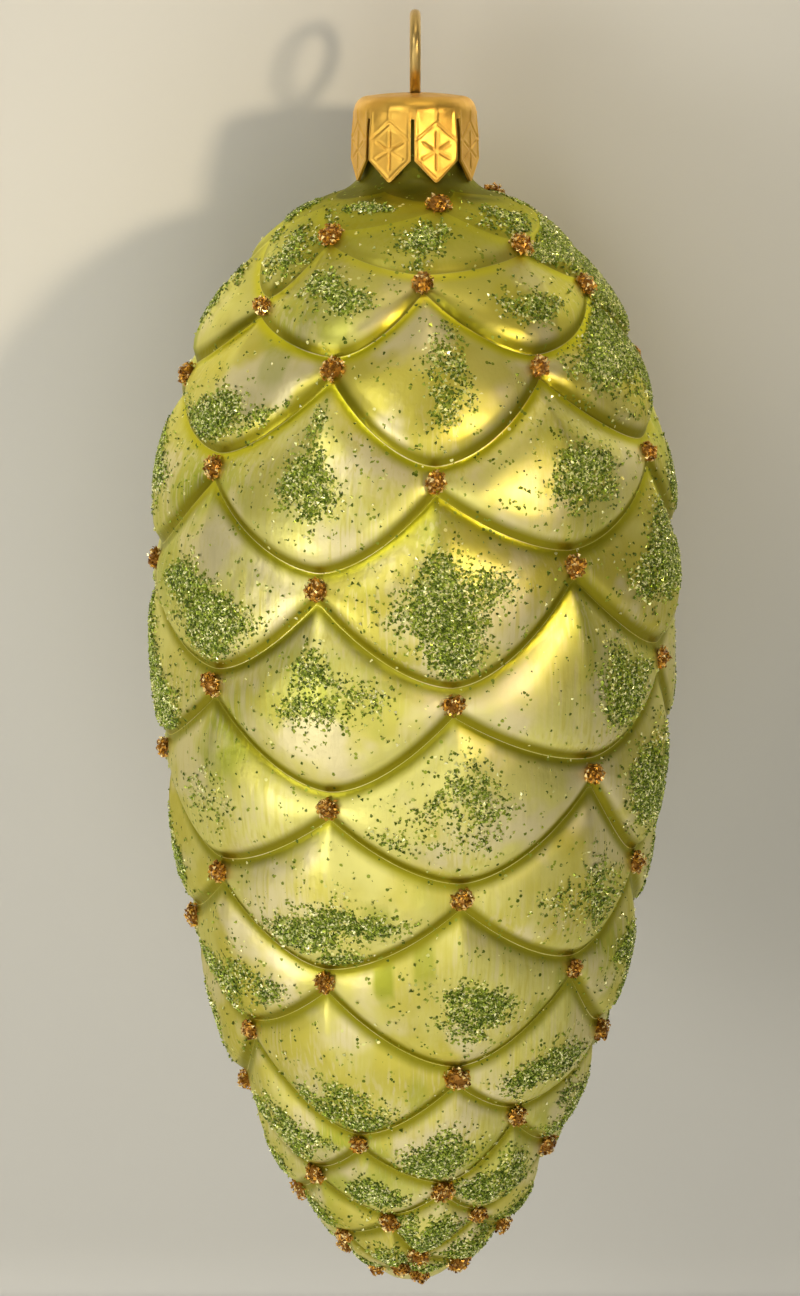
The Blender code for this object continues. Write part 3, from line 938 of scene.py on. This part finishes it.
def goldMaterial(name, tone, dull, roughness):
    s = Shader(name)
    cloud = s.clouds(500.0, 0.35, 0.7)
    s.feed(s.surface.inputs["Base Color"], s.mix(s.maths("MULTIPLY", cloud, 0.35), tone, dull))
    s.feed(s.surface.inputs["Roughness"], s.maths("MULTIPLY_ADD", cloud, 0.12, roughness))
    s.fixed(Metallic=1.0)
    s.bump(cloud, 0.00003)
    return s.material


cap = {
    # millimetres; depths are measured down from the rim of the top
    "radius": 6.5, "sheet": 0.3, "edgeRadius": 1.6, "crown": 0.35, "turn": -2.5,
    "petals": 8, "slit": 0.36, "slitTop": 2.3, "shoulder": 6.6, "tip": 9.0, "pointRound": 0.004,
    "flare": 0.25, "flat": 0.8, "flatFrom": (1.4, 4.0), "flatTo": 0.965, "stampedFrom": (0.9, 1.6),
    "slotHalf": (0.95, 2.0),
    "petalColumns": 44, "domeRows": 14, "edgeRows": 12, "sideRows": 16, "petalRows": 54,
    "ridge": 0.09, "ridgeWidth": 0.15, "cut": 0.09, "cutWidth": 0.11, "lip": 0.035,
    # stamped lines on a petal as (across, depth) to (across, depth)
    "cuts": (((0, 2.7), (2.15, 4.4)), ((0, 2.7), (-2.15, 4.4)),
             ((0, 3.7), (0, 7.5)), ((-1.45, 4.75), (1.45, 6.4)), ((-1.45, 6.4), (1.45, 4.75))),
    "ridges": (((2.16, 1.7), (2.16, 6.5)), ((-2.16, 1.7), (-2.16, 6.5)),
               ((2.16, 6.5), (0, 8.55)), ((-2.16, 6.5), (0, 8.55)), ((0, 1.3), (0, 2.5))),
    "gold": {"tone": (0.88, 0.53, 0.095), "dull": (0.73, 0.40, 0.076), "roughness": 0.38},
}


def gapToLine(x, y, line):
    (ax, ay), (bx, by) = line
    t = np.clip(((x - ax) * (bx - ax) + (y - ay) * (by - ay)) / ((bx - ax) ** 2 + (by - ay) ** 2), 0, 1)
    return np.hypot(x - ax - t * (bx - ax), y - ay - t * (by - ay))


def stampedRelief(x, y):
    # raised ridges, and fine cuts with the metal pushed up beside them
    cut = np.min([gapToLine(x, y, line) for line in cap["cuts"]], axis=0)
    ridge = np.min([gapToLine(x, y, line) for line in cap["ridges"]], axis=0)
    width = cap["cutWidth"]
    return (cap["ridge"] * np.exp(-(ridge / cap["ridgeWidth"]) ** 2)
            - cap["cut"] * np.exp(-(cut / width) ** 2)
            + cap["lip"] * np.exp(-((cut - 2.2 * width) / width) ** 2))


def capProfile():
    # radius and depth from the rounded edge of the top down to the slits
    rim, bend = cap["radius"] - cap["edgeRadius"], cap["edgeRadius"]
    rows = []
    for step in range(cap["edgeRows"]):
        a = math.radians(90 * step / cap["edgeRows"])
        rows.append((rim + bend * math.sin(a), bend * (1 - math.cos(a))))
    for step in range(cap["sideRows"] + 1):
        rows.append((cap["radius"], bend + (cap["slitTop"] - bend) * step / cap["sideRows"]))
    return rows


def capRows(angle, across, petalHalf):
    # radius and depth of each row of points, from the slot over the top and down to the petals' edges
    reach = np.abs(across) / petalHalf
    bottom = cap["tip"] - (cap["tip"] - cap["shoulder"]) * np.sqrt(reach ** 2 + cap["pointRound"])
    rim = cap["radius"] - cap["edgeRadius"]
    width, length = cap["slotHalf"]
    slotEdge = 1 / ((np.abs(np.sin(angle)) / width) ** 4 + (np.abs(np.cos(angle)) / length) ** 4) ** 0.25
    rows = []
    for step in range(cap["domeRows"]):
        radius = slotEdge + (rim - slotEdge) * step / cap["domeRows"]
        rows.append((radius, -cap["crown"] * (1 - (radius / rim) ** 2)))
    for radius, depth in capProfile():
        rows.append((radius + 0 * angle, depth + 0 * angle))
    for step in range(1, cap["petalRows"] + 1):
        depth = cap["slitTop"] + (bottom - cap["slitTop"]) * step / cap["petalRows"]
        flare = cap["flare"] * (depth - cap["slitTop"]) / (cap["tip"] - cap["slitTop"])
        rows.append((cap["radius"] + flare, depth))
    return np.array([r for r, d in rows]), np.array([d for r, d in rows])


def capFaces(rowCount, columnCount):
    # both skins, and the walls that join them round the slot, the petals and the slits
    under = rowCount * columnCount
    perPetal = cap["petalColumns"] + 1
    slitRow = cap["domeRows"] + cap["edgeRows"] + cap["sideRows"]
    top, last = slitRow * columnCount, (rowCount - 1) * columnCount
    faces = []

    def wall(a, b):
        faces.append((a, b, under + b, under + a))

    for c in range(columnCount):
        d = (c + 1) % columnCount
        isSlit = (c + 1) % perPetal == 0
        wall(c, d)
        edge = top if isSlit else last
        wall(edge + d, edge + c)
        for r in range(rowCount - 1):
            a, f = r * columnCount + c, r * columnCount + d
            b, e = a + columnCount, f + columnCount
            if isSlit and r >= slitRow:
                wall(a, b)
                wall(e, f)
            else:
                faces.append((a, b, e, f))
                faces.append((under + f, under + e, under + b, under + a))
    return faces


def makeCap():
    topZ = capTopZ / mm - cap["crown"]
    half = math.radians(180 / cap["petals"])
    slit = cap["slit"] / 2 / cap["radius"]
    local = np.linspace(-half + slit, half - slit, cap["petalColumns"] + 1)
    turns = np.arange(cap["petals"]) * 2 * half + half + math.radians(cap["turn"])
    angle = (turns[:, None] + local[None]).ravel()
    within = np.tile(local, cap["petals"])
    across = within * cap["radius"]
    radius, depth = capRows(angle, across, local[-1] * cap["radius"])
    # the skirt is pressed nearly flat on each petal
    flat = cap["flat"] * smoothStep(*cap["flatFrom"], depth)
    pressed = radius * (1 - flat + flat * cap["flatTo"] / np.cos(within)[None])
    slopeR, slopeD = np.gradient(pressed, axis=0), np.gradient(depth, axis=0)
    size = np.maximum(np.hypot(slopeR, slopeD), 1e-6)
    outR, outUp = slopeD / size, slopeR / size
    relief = stampedRelief(np.broadcast_to(across, depth.shape), depth)
    relief = relief * smoothStep(*cap["stampedFrom"], depth)

    def skin(offset, reliefShare):
        r = pressed + outR * (offset + relief * reliefShare)
        up = topZ - depth + outUp * (offset + relief * reliefShare)
        return (np.stack([r * np.sin(angle), -r * np.cos(angle), up], -1) * mm).reshape(-1, 3)

    points = np.vstack([skin(0.0, 1.0), skin(-cap["sheet"], 0.6)])
    faces = capFaces(*depth.shape)
    sheet = addPiece("capSheet", points, faces, goldMaterial("goldSheet", **cap["gold"]))
    sheet.data.set_sharp_from_angle(angle=math.radians(50))
    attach(sheet, "root")
    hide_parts("cap")


wire = {
    # millimetres; the spacing is that of the legs at the cap's slot, and the spread that of their ends
    "diameter": 1.15, "loopWidth": 6.1, "legSpacing": 2.1, "legSpread": 7.4, "legLength": 13.0,
    "sides": 16, "samples": 12, "flatten": 0.9,
    "brass": {"tone": (0.62, 0.43, 0.15), "dull": (0.44, 0.31, 0.12), "roughness": 0.33},
}


def wireRoute():
    # the bent route as (aside, height), up one leg, round the loop and down the other leg
    half = (wire["loopWidth"] + wire["diameter"]) / 2
    top = wireTopZ / mm - wire["diameter"] / 2
    rimZ = capTopZ / mm - cap["crown"]
    bottom, leg, spread = rimZ - wire["legLength"], wire["legSpacing"] / 2, wire["legSpread"] / 2
    side = [
        # the loop, in shares of its half width
        (0.55 * half, top - 0.16 * half), (0.93 * half, top - 0.62 * half), (half, top - 1.05 * half),
        (0.80 * half, top - 1.60 * half),
        # the narrow place in the slot, then the leg, sprung apart in the neck and turned in at its end
        (leg + 0.45, rimZ + 1.2), (leg, rimZ - 0.3), (leg + 0.5, rimZ - 2.6),
        (spread - 0.5, rimZ - 7.5), (spread, bottom + 1.5), (spread - 0.5, bottom)]
    return [(-y, z) for y, z in reversed(side)] + [(0.0, top)] + side


def makeWire():
    route = splineThrough(wireRoute(), wire["samples"])
    ahead = np.gradient(route, axis=0)
    ahead /= np.linalg.norm(ahead, axis=1, keepdims=True)
    aside = np.stack([-ahead[:, 1], ahead[:, 0]], -1)
    turn = np.arange(wire["sides"]) * 2 * math.pi / wire["sides"]
    half = wire["diameter"] / 2
    x = half * np.cos(turn)
    lift = half * wire["flatten"] * np.sin(turn)
    y = route[:, :1] + aside[:, :1] * lift
    z = route[:, 1:] + aside[:, 1:] * lift
    points = np.stack([np.broadcast_to(x, y.shape), y, z], -1).reshape(-1, 3) * mm
    n, faces = wire["sides"], []
    for r in range(len(route) - 1):
        faces += [(r * n + c, (r + 1) * n + c, (r + 1) * n + (c + 1) % n, r * n + (c + 1) % n)
                  for c in range(n)]
    faces.append(tuple(range(n)))
    faces.append(tuple((len(route) - 1) * n + c for c in reversed(range(n))))
    piece = addPiece("hangerWire", points, faces, goldMaterial("goldWire", **wire["brass"]))
    piece.data.set_sharp_from_angle(angle=math.radians(60))
    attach(piece, "root")
    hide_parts("hanger")


makeCap()
makeWire()
print("cap and wire fitted")
